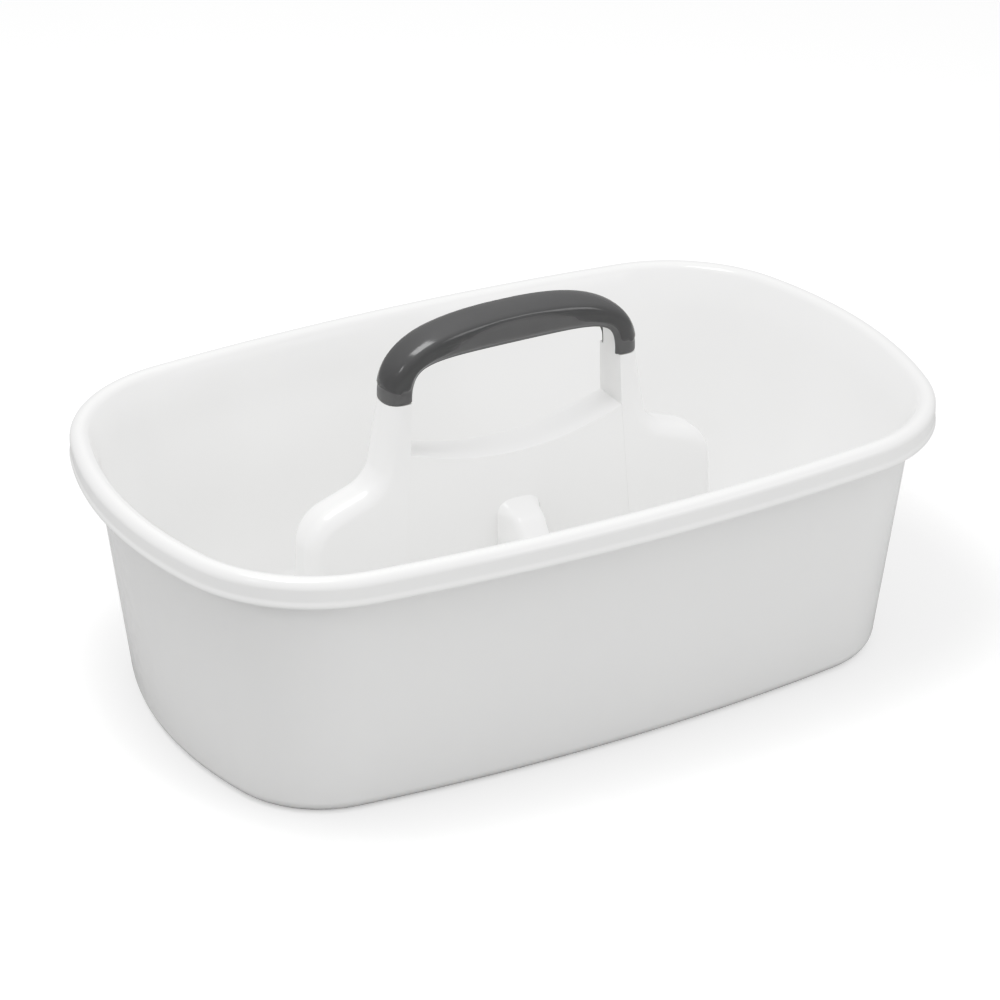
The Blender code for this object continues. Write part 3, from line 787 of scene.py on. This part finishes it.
def white_plastic(name, colour, warm, gloss, scuffed=False):
    """Glossy moulded polypropylene: faint cloudiness, uneven gloss and a soft orange peel."""
    material, nodes, links = new_material(name)
    shader = nodes["Principled BSDF"]
    place = nodes.new("ShaderNodeTexCoord").outputs["Object"]
    cloud = noise(nodes, links, place, 14.0, 2.0)
    fine = noise(nodes, links, place, 160.0, 3.0)
    grain = noise(nodes, links, place, 900.0, 2.0)
    base = blend(nodes, links, remap(nodes, links, cloud, 0.0, 1.0), colour, warm)
    rough = remap(nodes, links, fine, gloss - 0.03, gloss + 0.05)
    if scuffed:
        height = nodes.new("ShaderNodeSeparateXYZ")
        links.new(place, height.inputs["Vector"])
        low_down = remap(nodes, links, height.outputs["Z"], 1.0, 0.0, (0.0, 0.004))
        scratch = noise(nodes, links, place, 420.0, 6.0, 0.7)
        worn = nodes.new("ShaderNodeMath")
        worn.operation = "MULTIPLY"
        links.new(low_down, worn.inputs[0])
        links.new(remap(nodes, links, scratch, 0.0, 1.0, (0.42, 0.6)), worn.inputs[1])
        base = blend(nodes, links, worn.outputs[0], base, (0.72, 0.71, 0.69))
        dull = nodes.new("ShaderNodeMath")
        dull.operation = "MULTIPLY_ADD"
        links.new(worn.outputs[0], dull.inputs[0])
        dull.inputs[1].default_value = 0.3
        links.new(rough, dull.inputs[2])
        rough = dull.outputs[0]
    links.new(base, shader.inputs["Base Color"])
    links.new(rough, shader.inputs["Roughness"])
    shader.inputs["IOR"].default_value = 1.49
    wave = bump(nodes, links, fine, 0.12, 0.00006)
    links.new(bump(nodes, links, grain, 0.10, 0.00002, wave), shader.inputs["Normal"])
    return material


def grip_plastic():
    """Satin dark grey: smooth glossier pad, and a paler, finely grained margin round it."""
    material, nodes, links = new_material("grip_plastic_fine")
    shader = nodes["Principled BSDF"]
    place = nodes.new("ShaderNodeTexCoord").outputs["Object"]
    pad = nodes.new("ShaderNodeAttribute")
    pad.attribute_name = "pad"
    on_pad = pad.outputs["Fac"]
    mottle = noise(nodes, links, place, 60.0, 4.0)
    grain = noise(nodes, links, place, 2400.0, 2.0)
    smooth_grey = blend(nodes, links, remap(nodes, links, mottle, 0.0, 1.0),
                        (0.074, 0.074, 0.075), (0.083, 0.083, 0.084))
    pale_grey = blend(nodes, links, remap(nodes, links, mottle, 0.0, 1.0),
                      (0.125, 0.125, 0.126), (0.138, 0.138, 0.139))
    links.new(blend(nodes, links, on_pad, pale_grey, smooth_grey), shader.inputs["Base Color"])
    links.new(remap(nodes, links, on_pad, 0.36, 0.15, (0.0, 1.0)), shader.inputs["Roughness"])
    shader.inputs["IOR"].default_value = 1.5
    links.new(bump(nodes, links, grain, 0.25, 0.00002), shader.inputs["Normal"])
    return material


def screw_steel():
    """Bright zinc plate with fine turning marks and slight dulling."""
    material, nodes, links = new_material("screw_steel_fine")
    shader = nodes["Principled BSDF"]
    place = nodes.new("ShaderNodeTexCoord").outputs["Object"]
    patch = noise(nodes, links, place, 380.0, 4.0)
    fine = noise(nodes, links, place, 5200.0, 2.0)
    links.new(blend(nodes, links, remap(nodes, links, patch, 0.0, 1.0),
                    (0.66, 0.66, 0.65), (0.55, 0.55, 0.56)), shader.inputs["Base Color"])
    links.new(remap(nodes, links, fine, 0.24, 0.42), shader.inputs["Roughness"])
    shader.inputs["Metallic"].default_value = 1.0
    links.new(bump(nodes, links, fine, 0.3, 0.00001), shader.inputs["Normal"])
    return material


# ---- studio -------------------------------------------------------------------------------
def floor_material():
    """Pale floor that looks almost shadowless, and throws less light back up than it shows."""
    material, nodes, links = new_material("studio_floor")
    shader = nodes["Principled BSDF"]
    seen = nodes.new("ShaderNodeLightPath").outputs["Is Camera Ray"]
    links.new(blend(nodes, links, seen, (0.5, 0.5, 0.5), (0.85, 0.85, 0.85)), shader.inputs["Base Color"])
    links.new(remap(nodes, links, seen, 0.0, 0.27, (0.0, 1.0)), shader.inputs["Emission Strength"])
    shader.inputs["Roughness"].default_value = 0.9
    shader.inputs["Specular IOR Level"].default_value = 0.0
    shader.inputs["Emission Color"].default_value = (1.0, 1.0, 1.0, 1.0)
    return material


def make_floor():
    """Round floor far larger than the view."""
    bm = bmesh.new()
    bmesh.ops.create_circle(bm, cap_ends=True, radius=STUDIO_RADIUS, segments=64)
    floor = object_from("floor", bm)
    floor.data.materials.append(floor_material())


def make_world():
    """Soft surround, brighter overhead, and plain white behind the object."""
    world = bpy.data.worlds.new("studio")
    world.use_nodes = True
    nodes, links = world.node_tree.nodes, world.node_tree.links
    soft = nodes["Background"]
    soft.inputs["Color"].default_value = (1.0, 1.0, 1.0, 1.0)
    direction = nodes.new("ShaderNodeTexCoord").outputs["Generated"]
    split = nodes.new("ShaderNodeSeparateXYZ")
    links.new(direction, split.inputs["Vector"])
    steep = nodes.new("ShaderNodeMath")
    steep.operation = "POWER"
    links.new(remap(nodes, links, split.outputs["Z"], 0.0, 1.0, (0.0, 1.0)), steep.inputs[0])
    steep.inputs[1].default_value = 2.0
    links.new(remap(nodes, links, steep.outputs[0], *SURROUND, (0.0, 1.0)), soft.inputs["Strength"])
    white = nodes.new("ShaderNodeBackground")
    white.inputs["Color"].default_value = (1.0, 1.0, 1.0, 1.0)
    white.inputs["Strength"].default_value = BACKDROP
    choose = nodes.new("ShaderNodeMixShader")
    links.new(nodes.new("ShaderNodeLightPath").outputs["Is Camera Ray"], choose.inputs[0])
    links.new(soft.outputs[0], choose.inputs[1])
    links.new(white.outputs[0], choose.inputs[2])
    links.new(choose.outputs[0], nodes["World Output"].inputs["Surface"])
    bpy.context.scene.world = world


def make_light(name, place, target, size, power):
    """Rectangular area light that faces its target."""
    light = bpy.data.lights.new(name, "AREA")
    light.shape = "RECTANGLE"
    light.size, light.size_y = size
    light.energy = power
    item = bpy.data.objects.new(name, light)
    bpy.context.collection.objects.link(item)
    item.location = place
    item.rotation_euler = (Vector(target) - Vector(place)).to_track_quat("-Z", "Y").to_euler()


def make_camera():
    """Camera at its distance from the target, turned, raised and slightly rolled."""
    azimuth, elevation, roll = (radians(v) for v in (CAMERA_AZIMUTH, CAMERA_ELEVATION, CAMERA_ROLL))
    back = Vector((sin(azimuth) * cos(elevation), -cos(azimuth) * cos(elevation), sin(elevation)))
    right = Vector((cos(azimuth), sin(azimuth), 0.0))
    up = back.cross(right)
    across = right * cos(roll) + up * sin(roll)
    upward = up * cos(roll) - right * sin(roll)
    camera = bpy.data.objects.new("camera", bpy.data.cameras.new("camera"))
    bpy.context.collection.objects.link(camera)
    place = (CAMERA_TARGET + back * CAMERA_DISTANCE) * MM
    camera.matrix_world = Matrix.Translation(place) @ Matrix((across, upward, back)).transposed().to_4x4()
    camera.data.sensor_width = SENSOR_WIDTH
    camera.data.lens = CAMERA_LENS
    bpy.context.scene.camera = camera


def set_tone():
    """Plain transform with a gentle lift of the light greys, as in a bright catalogue print."""
    view = bpy.context.scene.view_settings
    view.view_transform = "Standard"
    view.use_curve_mapping = True
    curve = view.curve_mapping.curves[3]
    for plain, lifted in TONE_POINTS:
        curve.points.new(plain, lifted)
    view.curve_mapping.update()


# ---- the caddy ----------------------------------------------------------------------------
screws = sorted(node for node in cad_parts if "screw" in node)
places = {}
for node in screws:
    corner_low, corner_high = box_mm(node)
    places[node] = (corner_low.x + corner_high.x) / 2.0

tub_white = white_plastic("tub_plastic_fine", (0.905, 0.905, 0.9), (0.915, 0.915, 0.908), 0.15, scuffed=True)
frame_white = white_plastic("frame_plastic_fine", (0.91, 0.91, 0.905), (0.918, 0.918, 0.912), 0.14)
panel_white = white_plastic("panel_plastic_fine", (0.905, 0.905, 0.9), (0.915, 0.915, 0.908), 0.15)
steel = screw_steel()
finish_piece(make_tub(places.values()), tub_white, "tub")
finish_piece(make_handle_frame(), frame_white, "handle_frame")
finish_piece(make_centre_panel(), panel_white, "centre_panel")
finish_piece(make_grip(), grip_plastic(), "grip_cover")
for count, node in enumerate(screws, 1):
    screw_top = box_mm(node)[1].z
    finish_piece(make_screw(count, places[node], screw_top), steel, node)

make_floor()
make_world()
for light in LIGHTS:
    make_light(*light)
make_camera()
set_tone()
